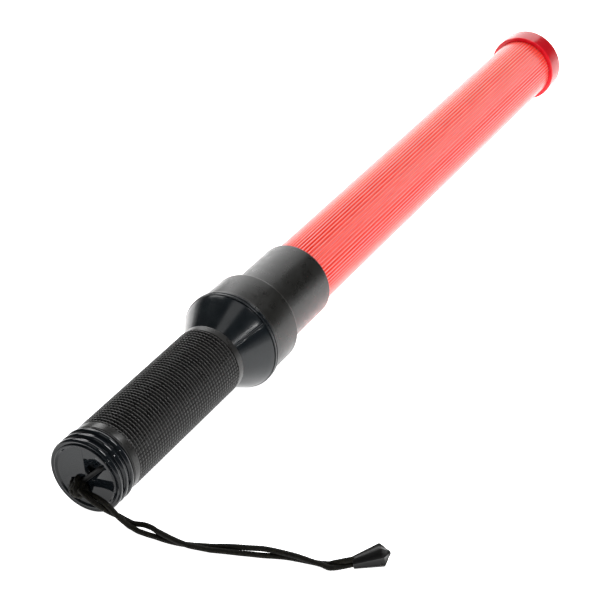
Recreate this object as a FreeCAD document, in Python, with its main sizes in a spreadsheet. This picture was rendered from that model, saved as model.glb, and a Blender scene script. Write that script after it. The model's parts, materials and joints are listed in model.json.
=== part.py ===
import FreeCAD, Part
import math
import os

import Sketcher

# Traffic baton light: a two-cell torch handle with a long red light tube.
# Every turned piece is drawn along its own X axis, which is the baton's axis: X is 0 at the
# tail cap's end and grows towards the tip. The finished pieces are then laid down together,
# resting on the tail cap's first ring and on the rim of the flared head housing.

DOC = FreeCAD.newDocument("traffic_baton_light")
SHEET = DOC.addObject("Spreadsheet::Sheet", "Sheet")

DIMENSIONS = [
    # alias, millimetres or degrees, what it is
    ("lip_radius", 17.6, "inside of the tail cap's lip"),
    ("recess_depth", 3.0, "middle of the dished end face below the lip"),
    ("dish_flat", 9.5, "radius of the flat middle of the end face"),
    ("dish_edge", 0.3, "station where the dish meets the lip's bevel"),
    ("dish_radius", 17.2, "radius where the dish meets the lip's bevel"),
    ("shoulder_radius", 19.0, "where the lip starts to round over"),
    ("ring_round", 1.8, "rounding of a grip ring's crest"),
    ("ring_half_width", 1.56, "half of a grip ring at its foot"),
    ("ring_foot", 19.9, "radius between the grip rings"),
    ("ring_crest", 20.8, "largest radius of a grip ring"),
    ("first_ring", 1.8, "station of the first ring"),
    ("ring_pitch", 4.75, "from ring to ring"),
    ("cap_floor", 7.0, "inside of the tail cap's end wall"),
    ("cap_front", 13.9, "open edge of the tail cap"),
    ("cap_bore", 19.10, "inside of the tail cap's skirt"),
    ("bar_radius", 1.3, "strap bar across the end face"),
    ("bar_level", 1.0, "station of the strap bar's axis"),
    ("bar_rise", 135.0, "direction of the strap bar's wall end, from +Y towards +Z"),
    ("bar_wall_end", 18.2, "strap bar's end in the lip, from the axis"),
    ("bar_free_end", 10.6, "strap bar's footed end, from the axis"),
    ("bar_offset", 1.2, "strap bar's distance from the axis"),
    ("eye_depth", 2.4, "hollow under the strap bar, below the end face"),
    ("eye_side", 8.0, "side of that square hollow"),
    ("eye_centre", 6.4, "middle of that hollow, along the bar"),
    ("neck_rear", 7.9, "rear end of the handle's threaded neck"),
    ("neck_radius", 19.05, "outside of the threaded neck"),
    ("barrel_bore", 17.5, "battery space"),
    ("barrel_rear", 14.5, "handle's rear shoulder"),
    ("grip_rear", 19.0, "start of the knurled grip"),
    ("grip_front", 113.5, "end of the knurled grip"),
    ("grip_radius", 20.05, "knurled grip, over its crests"),
    ("band_radius", 19.9, "smooth bands beside the grip"),
    ("barrel_front", 118.0, "front end of the handle"),
    ("edge_round", 0.5, "small chamfer on moulded edges"),
    ("socket_rear", 108.0, "bottom of the handle's front socket"),
    ("socket_radius", 18.4, "handle's front socket"),
    ("strip_width", 5.0, "brass return strip"),
    ("strip_thick", 0.3, "thickness of the sheet brass"),
    ("strip_front", 133.6, "front end of the return strip"),
    ("tab_reach", 18.8, "strip's tab over the neck's end"),
    ("gasket_thick", 0.5, "flat ring between cap and handle"),
    ("gasket_radius", 19.7, "outside of that ring"),
    ("loose", 0.1, "play between pieces that part when the baton is unscrewed"),
    ("disc_thick", 0.4, "tail contact disc"),
    ("disc_radius", 18.6, "tail contact disc"),
    ("cell_rear", 12.0, "rear end of the rear cell"),
    ("cell_length", 61.5, "D cell with its nub"),
    ("cell_radius", 17.1, "D cell"),
    ("nub_height", 1.5, "D cell's nub"),
    ("nub_radius", 4.75, "D cell's nub"),
    ("cell_edge", 0.8, "rolled edge of a cell"),
    ("spring_wire", 0.5, "radius of the spring's wire"),
    ("spring_radius", 6.5, "spring's coil, to the wire's centre"),
    ("spring_turns", 3.0, "turns of the tail spring"),
    ("cone_neck", 18.6, "head housing where it leaves the handle"),
    ("cone_front", 136.5, "end of the head housing's flare"),
    ("cone_rim", 28.5, "radius at the end of the flare"),
    ("rim_radius", 28.8, "head housing's rim"),
    ("rim_round", 0.6, "rounding of that rim"),
    ("rim_front", 139.8, "front face of the rim"),
    ("cone_wall_rear", 120.0, "where the flare's inside begins"),
    ("ledge_rear", 132.0, "rear face of the lamp holder's ledge"),
    ("ledge_front", 134.0, "front face of that ledge"),
    ("ledge_bore", 20.0, "inside of that ledge"),
    ("ledge_wall", 23.9, "flare's inside at the ledge"),
    ("mouth_rear", 135.8, "start of the threaded mouth"),
    ("mouth_radius", 26.2, "threaded mouth"),
    ("mouth_step", 25.2, "holder's seat beside the ledge"),
    ("holder_radius", 24.8, "lamp holder's plate"),
    ("holder_front", 135.6, "front face of that plate"),
    ("boss_radius", 8.0, "lamp holder's boss"),
    ("boss_front", 139.0, "front face of that boss"),
    ("lamp_bore", 5.2, "hole for the lamp"),
    ("contact_reach", 18.6, "lamp contact strip's outer end"),
    ("plate_radius", 4.2, "contact plate under the lamp"),
    ("lamp_tip_radius", 1.8, "solder tip of the lamp"),
    ("lamp_tip_front", 136.4, "where the tip meets the sleeve"),
    ("sleeve_radius", 4.7, "lamp's metal sleeve"),
    ("sleeve_front", 144.0, "front end of that sleeve"),
    ("flange_radius", 6.2, "lamp's flange"),
    ("flange_thick", 0.8, "lamp's flange"),
    ("bulb_radius", 4.6, "glass envelope"),
    ("bulb_wall", 0.6, "glass thickness"),
    ("bulb_shoulder", 150.4, "where the envelope's round end begins"),
    ("mirror_rear", 140.1, "rear edge of the reflector"),
    ("mirror_front", 155.6, "rear face of the reflector's rim"),
    ("mirror_neck", 6.6, "reflector's hole round the lamp"),
    ("mirror_mouth", 22.8, "reflector's mouth"),
    ("mirror_wall", 0.9, "reflector's thickness"),
    ("mirror_round", 24.0, "hollow curve of the reflector"),
    ("lens_radius", 24.2, "clear lens and the reflector's rim"),
    ("lens_rear", 156.4, "rear face of the lens"),
    ("lens_front", 158.4, "front face of the lens"),
    ("seal_front", 159.6, "front face of the lens seal"),
    ("seal_bore", 21.0, "inside of the lens seal"),
    ("head_seal_front", 140.5, "front face of the head seal"),
    ("head_seal_bore", 26.5, "inside of the head seal"),
    ("head_seal_radius", 28.1, "outside of the head seal"),
    ("collar_face", 140.6, "rear face of the collar's flange"),
    ("collar_flange", 28.0, "collar's flange"),
    ("collar_start", 142.2, "front face of that flange"),
    ("collar_big", 27.4, "collar round the reflector"),
    ("collar_step", 163.0, "step down to the tube"),
    ("collar_small", 22.7, "collar round the tube"),
    ("collar_front", 208.0, "front edge of the collar"),
    ("spigot_radius", 26.15, "collar's threaded spigot"),
    ("spigot_rear", 136.0, "rear end of that spigot"),
    ("collar_bore", 24.6, "collar's inside round the lens"),
    ("collar_shoulder", 160.0, "shoulder that holds the lens seal"),
    ("tube_stop", 162.0, "rear end of the light tube"),
    ("tube_radius", 20.0, "red light tube"),
    ("tube_bore", 18.8, "inside of the light tube"),
    ("tube_front", 538.8, "front end of the light tube"),
    ("tip_rear", 527.5, "tip cap's open edge"),
    ("tip_lip", 22.2, "tip cap at its open edge"),
    ("tip_swell", 528.0, "where the tip cap is full width"),
    ("tip_radius", 22.6, "tip cap"),
    ("tip_shoulder", 540.4, "where the tip cap starts to round over"),
    ("tip_round", 0.6, "rounding of the tip cap's edge"),
    ("tip_flat", 22.0, "flat end of the tip cap"),
    ("tip_inside", 539.0, "inside of the tip cap's end wall"),
    ("total_length", 541.0, "from the tail cap's lip to the tip"),
    ("knot_across", 5.6, "half of the knot along Y"),
    ("knot_high", 4.9, "half of the knot along Z"),
    ("knot_deep", 4.6, "half of the knot along the axis"),
    ("cord_radius", 2.5, "twisted pair of cord strands, over both"),
    ("bead_small", 3.0, "bead's corner radius at the cord"),
    ("bead_large", 5.5, "bead's corner radius at its far end"),
    ("bead_taper", 14.4, "length of the bead's taper"),
    ("bead_length", 18.7, "bead with its pointed end"),
    ("bead_point", 1.0, "corner radius of the blunt point"),
]

# Where the wrist cord runs, in the finished frame, from the knot to the bead.
CORD_ROUTE = [
    (-273.6, 0.4, 14.8),
    (-274.6, -4.4, 14.6),
    (-274.9, -9.4, 13.3),
    (-274.4, -13.6, 11.3),
    (-273.6, -17.6, 8.6),
    (-272.4, -22.0, 5.5),
    (-271.1, -27.6, 3.3),
    (-270.5, -34.6, 2.5),
    (-272.3, -44.4, 2.5),
    (-272.6, -52.8, 2.5),
    (-271.2, -60.4, 2.5),
    (-268.1, -67.6, 2.5),
    (-264.9, -76.4, 2.5),
    (-262.2, -85.8, 2.5),
    (-259.1, -94.8, 2.5),
    (-256.4, -104.3, 2.5),
    (-255.0, -112.0, 2.5),
    (-254.2, -119.6, 2.5),
    (-251.9, -126.6, 2.5),
    (-248.9, -132.0, 2.7),
    (-245.6, -135.8, 3.1),
]
KNOT_CENTRE = (-2.0, 3.9, -5.9)
BEAD_START = (-246.4, -134.9)
BEAD_YAW = -49.0
BEAD_SIDES = 8
BEAD_LIFT = 0.05
RING_COUNT = 3
CELL_NAMES = ("battery_cell_rear", "battery_cell_front")
ARC_SHARE = 0.45

PIECES = []


def fill_sheet():
    """Write the driving dimensions, one row each, with the value under an alias."""
    for row, (alias, value, note) in enumerate(DIMENSIONS, start=1):
        SHEET.set("A%d" % row, alias)
        SHEET.set("B%d" % row, "%g" % value)
        SHEET.set("C%d" % row, note)
        SHEET.setAlias("B%d" % row, alias)
    DOC.recompute()


def amount(formula):
    """The value of a formula: aliases joined by + or -."""
    total = 0.0
    sign = 1.0
    for word in formula.split():
        if word == "+":
            sign = 1.0
        elif word == "-":
            sign = -1.0
        else:
            total += sign * float(SHEET.get(word))
    return total


def linked(formula):
    """The same formula as an expression that reads the sheet."""
    words = [word if word in "+-" else "Sheet." + word for word in formula.split()]
    return " ".join(words)


def origin_plane(body, role):
    """One of the body's own origin planes."""
    for feature in body.Origin.OriginFeatures:
        if feature.Role == role:
            return feature
    raise ValueError(role)


def edge_between(start, end, bulge):
    """A straight edge, or an arc of the bulge's radius that stands out to one side."""
    if bulge is None:
        return Part.LineSegment(start, end)
    radius = amount(bulge[0])
    chord = end - start
    left = FreeCAD.Vector(-chord.y, chord.x, 0) / chord.Length
    drop = math.sqrt(max(radius ** 2 - chord.Length ** 2 / 4, 0.0))
    middle = (start + end) / 2 + left * (bulge[1] * (radius - drop))
    return Part.Arc(start, middle, end)


def pin_point(sketch, geometry, end, station, radius):
    """Fix one corner of an outline at its station and its radius."""
    for kind, axis, formula in (("DistanceX", -2, station), ("DistanceY", -1, radius)):
        if formula is None:
            sketch.addConstraint(Sketcher.Constraint("PointOnObject", geometry, end, axis))
            continue
        value = amount(formula)
        index = sketch.addConstraint(Sketcher.Constraint(kind, -1, 1, geometry, end, value))
        sketch.setExpression("Constraints[%d]" % index, linked(formula))


def turned(label, outline):
    """A solid of revolution about X.

    outline is a closed list of corners (station, radius, bulge). None as a station or a
    radius is 0, and a bulge (alias, side) makes the edge to the next corner an arc.
    """
    body = DOC.addObject("PartDesign::Body", label)
    body.Label = label
    sketch = body.newObject("Sketcher::SketchObject", label + "_outline")
    sketch.AttachmentSupport = [(origin_plane(body, "XY_Plane"), "")]
    sketch.MapMode = "FlatFace"
    corners = [corner if len(corner) == 3 else corner + (None,) for corner in outline]
    points = []
    for station, radius, _ in corners:
        across = 0.0 if station is None else amount(station)
        out = 0.0 if radius is None else amount(radius)
        points.append(FreeCAD.Vector(across, out, 0))
    starts = []
    for number, corner in enumerate(corners):
        begin = points[number]
        end = points[(number + 1) % len(points)]
        geometry = sketch.addGeometry(edge_between(begin, end, corner[2]), False)
        swapped = (sketch.getPoint(geometry, 1) - begin).Length > (
            sketch.getPoint(geometry, 2) - begin).Length
        starts.append(2 if swapped else 1)
    for number, corner in enumerate(corners):
        following = (number + 1) % len(corners)
        finish = 3 - starts[number]
        sketch.addConstraint(
            Sketcher.Constraint("Coincident", number, finish, following, starts[following]))
        pin_point(sketch, number, starts[number], corner[0], corner[1])
        if corner[2] is not None:
            index = sketch.addConstraint(
                Sketcher.Constraint("Radius", number, amount(corner[2][0])))
            sketch.setExpression("Constraints[%d]" % index, linked(corner[2][0]))
    turn = body.newObject("PartDesign::Revolution", label + "_turned")
    turn.Profile = sketch
    turn.ReferenceAxis = (sketch, ["H_Axis"])
    turn.Angle = 360
    return body


def ring(label, rear, front, inner, outer):
    """A plain ring, or a disc where inner is None."""
    return turned(label, [(rear, inner), (rear, outer), (front, outer), (front, inner)])


def block(label, sizes, place):
    """A box whose length, width and height follow the sheet."""
    box = DOC.addObject("Part::Box", label)
    for side, formula in zip(("Length", "Width", "Height"), sizes):
        box.setExpression(side, linked(formula))
    box.Placement = place
    return box


def rod(label, radius, height, place):
    """A cylinder along its own Z."""
    cylinder = DOC.addObject("Part::Cylinder", label)
    cylinder.setExpression("Radius", linked(radius))
    cylinder.setExpression("Height", linked(height))
    cylinder.Placement = place
    return cylinder


def joined(label, kind, base, tool):
    """A boolean of two objects: Part::Cut, Part::Fuse or Part::Common."""
    result = DOC.addObject(kind, label)
    result.Base = base
    result.Tool = tool
    result.Label = label
    return result


def keep(piece):
    """Count the object as a finished piece."""
    PIECES.append(piece)
    return piece


def bar_frame():
    """A frame at the strap bar's middle: X out of the end face, Z along the bar."""
    along = math.radians(amount("bar_rise"))
    direction = FreeCAD.Vector(0, math.cos(along), math.sin(along))
    aside = FreeCAD.Vector(0, math.sin(along), -math.cos(along))
    origin = aside * -amount("bar_offset")
    outward = FreeCAD.Vector(-1, 0, 0)
    turn = FreeCAD.Rotation(outward, FreeCAD.Vector(), direction, "ZXY")
    return FreeCAD.Placement(origin, turn)


def tail_cap():
    """Screw-on end cap: a ringed cup, with a bar in its end face for the wrist cord."""
    outline = [
        ("recess_depth", None),
        ("recess_depth", "dish_flat"),
        ("dish_edge", "dish_radius"),
        (None, "lip_radius"),
        (None, "shoulder_radius", ("ring_round", 1)),
        ("first_ring + ring_half_width", "ring_foot"),
    ]
    for number in range(1, RING_COUNT):
        station = "first_ring" + " + ring_pitch" * number
        outline.append((station + " - ring_half_width", "ring_foot", ("ring_round", 1)))
        outline.append((station + " + ring_half_width", "ring_foot"))
    outline += [
        ("cap_front", "ring_foot"),
        ("cap_front", "cap_bore"),
        ("cap_floor", "cap_bore"),
        ("cap_floor", None),
    ]
    cup = turned("tail_cap_cup", outline)
    frame = bar_frame()
    half = amount("eye_side") / 2
    corner = FreeCAD.Vector(-amount("recess_depth + eye_depth"), -half,
                            -amount("eye_centre") - half)
    place = frame.multiply(FreeCAD.Placement(corner, FreeCAD.Rotation()))
    eye = block("strap_eye", ("eye_depth + eye_depth", "eye_side", "eye_side"), place)
    hollowed = joined("tail_cap_hollowed", "Part::Cut", cup, eye)
    low = FreeCAD.Vector(-amount("bar_level"), 0, -amount("bar_free_end"))
    place = frame.multiply(FreeCAD.Placement(low, FreeCAD.Rotation()))
    bar = rod("strap_bar", "bar_radius", "bar_wall_end + bar_free_end", place)
    down = FreeCAD.Rotation(FreeCAD.Vector(0, 1, 0), -90)
    place = frame.multiply(FreeCAD.Placement(low, down))
    foot = rod("strap_bar_foot", "bar_radius", "recess_depth", place)
    footed = joined("strap_bar_footed", "Part::Fuse", bar, foot)
    return keep(joined("tail_cap", "Part::Fuse", hollowed, footed))


def strip_groove(label):
    """The slot along the bore that the return strip lies in."""
    sizes = ("ledge_rear", "strip_width", "barrel_bore + strip_thick")
    place = FreeCAD.Placement(
        FreeCAD.Vector(0, -amount("strip_width") / 2, 0), FreeCAD.Rotation())
    return block(label, sizes, place)


def handle_barrel():
    """Knurled handle: a tube for two cells, with a neck for the cap and a front socket."""
    outline = [
        ("neck_rear", "barrel_bore"),
        ("neck_rear", "neck_radius"),
        ("barrel_rear", "neck_radius"),
        ("barrel_rear", "band_radius - edge_round"),
        ("barrel_rear + edge_round", "band_radius"),
        ("grip_rear", "band_radius"),
        ("grip_rear", "grip_radius"),
        ("grip_front", "grip_radius"),
        ("grip_front", "band_radius"),
        ("barrel_front - edge_round", "band_radius"),
        ("barrel_front", "band_radius - edge_round"),
        ("barrel_front", "socket_radius"),
        ("socket_rear", "socket_radius"),
        ("socket_rear", "barrel_bore"),
    ]
    blank = turned("handle_barrel_blank", outline)
    groove = strip_groove("barrel_groove")
    return keep(joined("handle_barrel", "Part::Cut", blank, groove))


def head_housing():
    """Flared head: a spigot in the handle, a cone, a rim, and the lamp holder's ledge."""
    outline = [
        ("socket_rear", "barrel_bore"),
        ("socket_rear", "socket_radius"),
        ("barrel_front", "socket_radius"),
        ("barrel_front", "cone_neck"),
        ("cone_front", "cone_rim"),
        ("cone_front", "rim_radius - rim_round", ("rim_round", 1)),
        ("cone_front + rim_round", "rim_radius"),
        ("rim_front - edge_round", "rim_radius"),
        ("rim_front", "rim_radius - edge_round"),
        ("rim_front", "mouth_radius"),
        ("mouth_rear", "mouth_radius"),
        ("mouth_rear", "mouth_step"),
        ("ledge_front", "mouth_step"),
        ("ledge_front", "ledge_bore"),
        ("ledge_rear", "ledge_bore"),
        ("ledge_rear", "ledge_wall"),
        ("cone_wall_rear", "barrel_bore"),
    ]
    blank = turned("head_housing_blank", outline)
    groove = strip_groove("housing_groove")
    return keep(joined("head_housing", "Part::Cut", blank, groove))


def return_strip():
    """Brass strip along the bore, with a tab over the neck's end for the tail contact."""
    low = FreeCAD.Vector(
        amount("neck_rear - strip_thick"), -amount("strip_width") / 2, amount("barrel_bore"))
    run_sizes = ("strip_front - neck_rear + strip_thick", "strip_width", "strip_thick")
    run = block("return_strip_run", run_sizes, FreeCAD.Placement(low, FreeCAD.Rotation()))
    tab_sizes = ("strip_thick", "strip_width", "tab_reach - barrel_bore")
    tab = block("return_strip_tab", tab_sizes, FreeCAD.Placement(low, FreeCAD.Rotation()))
    return keep(joined("return_strip", "Part::Fuse", run, tab))


def cells():
    """Two D cells, one behind the other, nubs forward."""
    rear = "cell_rear"
    for name in CELL_NAMES:
        shoulder = rear + " + cell_length - nub_height"
        keep(turned(name, [
            (rear, None),
            (rear, "cell_radius - cell_edge"),
            (rear + " + cell_edge", "cell_radius"),
            (shoulder + " - cell_edge", "cell_radius"),
            (shoulder, "cell_radius - cell_edge"),
            (shoulder, "nub_radius"),
            (rear + " + cell_length", "nub_radius"),
            (rear + " + cell_length", None),
        ]))
        rear = rear + " + cell_length"


def tail_contacts():
    """Contact disc, seal and coil spring between the tail cap and the cells."""
    disc_front = "cap_floor + loose + disc_thick"
    keep(ring("tail_contact_disc", "cap_floor + loose", disc_front, None, "disc_radius"))
    keep(ring("tail_seal", "barrel_rear - gasket_thick", "barrel_rear",
              "neck_radius", "gasket_radius"))
    height = "cell_rear - loose - cap_floor - loose - disc_thick - spring_wire - spring_wire"
    helix = DOC.addObject("Part::Helix", "spring_path")
    helix.setExpression("Radius", linked("spring_radius"))
    helix.setExpression("Height", linked(height))
    helix.setExpression("Pitch", "(%s) / Sheet.spring_turns" % linked(height))
    wire = DOC.addObject("Part::Circle", "spring_section")
    wire.setExpression("Radius", linked("spring_wire"))
    around = 2 * math.pi * amount("spring_radius") * amount("spring_turns")
    slope = math.atan2(amount(height), around)
    wire.Placement = FreeCAD.Placement(
        FreeCAD.Vector(amount("spring_radius"), 0, 0),
        FreeCAD.Rotation(FreeCAD.Vector(1, 0, 0), 90 + math.degrees(slope)))
    DOC.recompute()
    spring = DOC.addObject("Part::Sweep", "tail_spring")
    spring.Sections = [wire]
    spring.Spine = (helix, ["Edge1"])
    spring.Solid = True
    spring.Frenet = True
    spring.Placement = FreeCAD.Placement(
        FreeCAD.Vector(amount(disc_front + " + spring_wire"), 0, 0),
        FreeCAD.Rotation(FreeCAD.Vector(0, 1, 0), 90))
    keep(spring)


def lamp():
    """Holder, contacts, metal base and glass of the small flanged lamp."""
    keep(turned("lamp_holder", [
        ("ledge_front", "lamp_bore"),
        ("ledge_front", "holder_radius"),
        ("holder_front", "holder_radius"),
        ("holder_front", "boss_radius"),
        ("boss_front", "boss_radius"),
        ("boss_front", "lamp_bore"),
    ]))
    sizes = ("strip_thick", "strip_width", "contact_reach - lamp_bore")
    place = FreeCAD.Placement(
        FreeCAD.Vector(amount("strip_front"), -amount("strip_width") / 2, amount("lamp_bore")),
        FreeCAD.Rotation())
    keep(block("lamp_side_contact", sizes, place))
    nub_end = "cell_rear + cell_length + cell_length"
    keep(ring("lamp_contact_plate", nub_end, nub_end + " + strip_thick", None, "plate_radius"))
    keep(turned("lamp_base", [
        (nub_end + " + strip_thick", None),
        (nub_end + " + strip_thick", "lamp_tip_radius"),
        ("lamp_tip_front", "sleeve_radius"),
        ("boss_front", "sleeve_radius"),
        ("boss_front", "flange_radius"),
        ("boss_front + flange_thick", "flange_radius"),
        ("boss_front + flange_thick", "sleeve_radius"),
        ("sleeve_front", "sleeve_radius"),
        ("sleeve_front", None),
    ]))
    keep(turned("lamp_glass", [
        ("sleeve_front", "bulb_radius - bulb_wall"),
        ("sleeve_front", "bulb_radius"),
        ("bulb_shoulder", "bulb_radius", ("bulb_radius", 1)),
        ("bulb_shoulder + bulb_radius", None),
        ("bulb_shoulder + bulb_radius - bulb_wall", None, ("bulb_radius - bulb_wall", -1)),
        ("bulb_shoulder", "bulb_radius - bulb_wall"),
    ]))


def optics():
    """Reflector, clear lens and lens seal, held loose inside the collar."""
    keep(turned("reflector", [
        ("mirror_rear", "mirror_neck"),
        ("mirror_rear", "mirror_neck + mirror_wall", ("mirror_round", 1)),
        ("mirror_front", "mirror_mouth + mirror_wall"),
        ("mirror_front", "lens_radius"),
        ("lens_rear", "lens_radius"),
        ("lens_rear", "mirror_mouth"),
        ("mirror_front", "mirror_mouth", ("mirror_round", -1)),
    ]))
    keep(ring("lens", "lens_rear", "lens_front", None, "lens_radius"))
    keep(ring("lens_seal", "lens_front", "seal_front", "seal_bore", "lens_radius"))


def wand():
    """Collar that screws into the head, with the red tube and its tip cap."""
    keep(ring("head_seal", "rim_front", "head_seal_front", "head_seal_bore",
              "head_seal_radius"))
    keep(turned("collar", [
        ("spigot_rear", "collar_bore"),
        ("spigot_rear", "spigot_radius"),
        ("collar_face", "spigot_radius"),
        ("collar_face", "collar_flange"),
        ("collar_start", "collar_flange"),
        ("collar_start", "collar_big"),
        ("collar_step - edge_round", "collar_big"),
        ("collar_step", "collar_big - edge_round"),
        ("collar_step", "collar_small"),
        ("collar_front - edge_round", "collar_small"),
        ("collar_front", "collar_small - edge_round"),
        ("collar_front", "tube_radius"),
        ("tube_stop", "tube_radius"),
        ("tube_stop", "tube_bore"),
        ("collar_shoulder", "tube_bore"),
        ("collar_shoulder", "collar_bore"),
    ]))
    keep(ring("light_tube", "tube_stop", "tube_front", "tube_bore", "tube_radius"))
    keep(turned("tip_cap", [
        ("tip_rear", "tube_radius"),
        ("tip_rear", "tip_lip"),
        ("tip_swell", "tip_radius"),
        ("tip_shoulder", "tip_radius", ("tip_round", 1)),
        ("total_length", "tip_flat"),
        ("total_length", None),
        ("tip_inside", None),
        ("tip_inside", "tube_radius"),
    ]))


def cord_knot(cap, place):
    """Lump of the cord's lark's-head knot, wrapped round the strap bar of the laid cap."""
    lump = DOC.addObject("Part::Ellipsoid", "cord_knot_lump")
    lump.setExpression("Radius1", linked("knot_high"))
    lump.setExpression("Radius2", linked("knot_deep"))
    lump.setExpression("Radius3", linked("knot_across"))
    centre = FreeCAD.Placement(FreeCAD.Vector(*KNOT_CENTRE), FreeCAD.Rotation())
    lump.Placement = place.multiply(centre)
    return keep(joined("cord_knot", "Part::Cut", lump, cap))


def rest_tilt():
    """The baton's slope when it lies on the first tail ring and on the head's rim."""
    run = amount("cone_front + rim_round - first_ring")
    ring_centre = amount("ring_crest - ring_round")
    rise = amount("rim_radius - rim_round") - ring_centre
    tilt = math.atan2(rise, run)
    reach = math.hypot(run, rise)
    return tilt + math.asin(amount("rim_round - ring_round") / reach)


def rest_place():
    """Where the baton's own axis frame lies: centred over the origin, on the floor."""
    tilt = rest_tilt()
    ring_round = amount("ring_round")
    lift = (amount("ring_crest - ring_round") * math.cos(tilt)
            - amount("first_ring") * math.sin(tilt) + ring_round)
    rear = (amount("first_ring") * math.cos(tilt)
            - amount("shoulder_radius") * math.sin(tilt) - ring_round)
    front = (amount("tip_shoulder") * math.cos(tilt)
             + amount("tip_flat") * math.sin(tilt) + amount("tip_round"))
    turn = FreeCAD.Rotation(FreeCAD.Vector(0, 1, 0), -math.degrees(tilt))
    return FreeCAD.Placement(FreeCAD.Vector(-(rear + front) / 2, 0, lift), turn)


def cord_path(points):
    """Straight runs joined by arcs that are as large as the two runs allow."""
    edges = []
    radii = []
    last = points[0]
    for before, corner, after in zip(points, points[1:], points[2:]):
        back = before - corner
        ahead = after - corner
        turn = math.pi - back.getAngle(ahead)
        setback = ARC_SHARE * min(back.Length, ahead.Length)
        radii.append(setback / math.tan(turn / 2))
        back.normalize()
        ahead.normalize()
        begin = corner + back * setback
        end = corner + ahead * setback
        centre = corner + (back + ahead).normalize() * (radii[-1] / math.cos(turn / 2))
        middle = centre + (corner - centre).normalize() * radii[-1]
        edges.append(Part.LineSegment(last, begin).toShape())
        edges.append(Part.Arc(begin, middle, end).toShape())
        last = end
    edges.append(Part.LineSegment(last, points[-1]).toShape())
    return Part.Wire(edges), radii


def wrist_cord():
    """The wrist cord's twisted pair as one plain tube, from the knot to the bead."""
    points = [FreeCAD.Vector(*point) for point in CORD_ROUTE]
    path, radii = cord_path(points)
    radius = amount("cord_radius")
    start = Part.Wire(Part.makeCircle(radius, points[0], points[1] - points[0]))
    tube = path.makePipeShell([start], True, True)
    expected = math.pi * radius ** 2 * path.Length
    print("cord length %.1f mm, volume %.1f of %.1f mm3" % (path.Length, tube.Volume, expected))
    print("cord radii", " ".join("%.0f" % value for value in radii))
    cord = DOC.addObject("Part::Feature", "wrist_cord_tube")
    cord.Shape = tube
    return cord


def polygon(label, corner_radius, height):
    """One cross-section of the bead, at a height above its small end."""
    outline = DOC.addObject("Part::RegularPolygon", label)
    outline.Polygon = BEAD_SIDES
    outline.setExpression("Circumradius", linked(corner_radius))
    if height is not None:
        outline.setExpression("Placement.Base.z", linked(height))
    return outline


def cord_bead():
    """Tapered eight-sided end bead, lying on one of its flats."""
    taper = DOC.addObject("Part::Loft", "cord_bead_taper")
    taper.Sections = [polygon("bead_start", "bead_small", None),
                      polygon("bead_shoulder", "bead_large", "bead_taper")]
    point = DOC.addObject("Part::Loft", "cord_bead_point")
    point.Sections = [polygon("bead_point_start", "bead_large", "bead_taper"),
                      polygon("bead_end", "bead_point", "bead_length")]
    for loft in (taper, point):
        loft.Solid = True
        loft.Ruled = True
    bead = joined("cord_bead", "Part::Fuse", taper, point)
    flat = math.cos(math.pi / BEAD_SIDES)
    slope = math.atan2(amount("bead_large - bead_small") * flat, amount("bead_taper"))
    level = FreeCAD.Rotation(FreeCAD.Vector(0, 0, 1), 180 / BEAD_SIDES)
    laid = FreeCAD.Rotation(FreeCAD.Vector(0, 1, 0), 90 - math.degrees(slope))
    yawed = FreeCAD.Rotation(FreeCAD.Vector(0, 0, 1), BEAD_YAW)
    turn = yawed.multiply(laid).multiply(level)
    height = amount("bead_small") * flat * math.cos(slope) + BEAD_LIFT
    bead.Placement = FreeCAD.Placement(FreeCAD.Vector(*BEAD_START, height), turn)
    return keep(bead)


def check(objects):
    """Stop if any object failed, or any finished piece isn't a valid solid."""
    for item in objects:
        if "Invalid" in item.State or "Error" in item.State:
            raise RuntimeError("%s failed: %s" % (item.Label, item.State))
    for piece in PIECES:
        shape = piece.Shape
        if shape.isNull() or not shape.isValid() or not shape.Solids:
            raise RuntimeError("%s is not a valid solid" % piece.Label)


def main():
    fill_sheet()
    cap = tail_cap()
    handle_barrel()
    head_housing()
    return_strip()
    cells()
    tail_contacts()
    lamp()
    optics()
    wand()
    DOC.recompute()
    place = rest_place()
    for piece in PIECES:
        piece.Placement = place.multiply(piece.Placement)
    knot = cord_knot(cap, place)
    cord = wrist_cord()
    bead = cord_bead()
    DOC.recompute()
    print("tilt %.3f degrees, axis frame at %s" % (math.degrees(rest_tilt()), place.Base))
    keep(finished_cord(cord, knot, bead))
    DOC.recompute()
    check(DOC.Objects)
    write_pieces()


def finished_cord(cord, knot, bead):
    """The tube without the length that is inside the knot and the bead."""
    trimmed = joined("wrist_cord_trimmed", "Part::Cut", cord, knot)
    return joined("wrist_cord", "Part::Cut", trimmed, bead)


def write_pieces():
    """One STEP file for each finished piece."""
    os.makedirs("parts", exist_ok=True)
    for piece in PIECES:
        piece.Shape.exportStep(os.path.join("parts", piece.Label + ".step"))
        box = piece.Shape.BoundBox
        print("%-20s %9.1f mm3  z %.2f" % (piece.Label, piece.Shape.Volume, box.ZMin))
    print(len(PIECES), "pieces")


main()
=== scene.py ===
import json
import math

import bmesh
import bpy
from mathutils import Matrix, Vector


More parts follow.
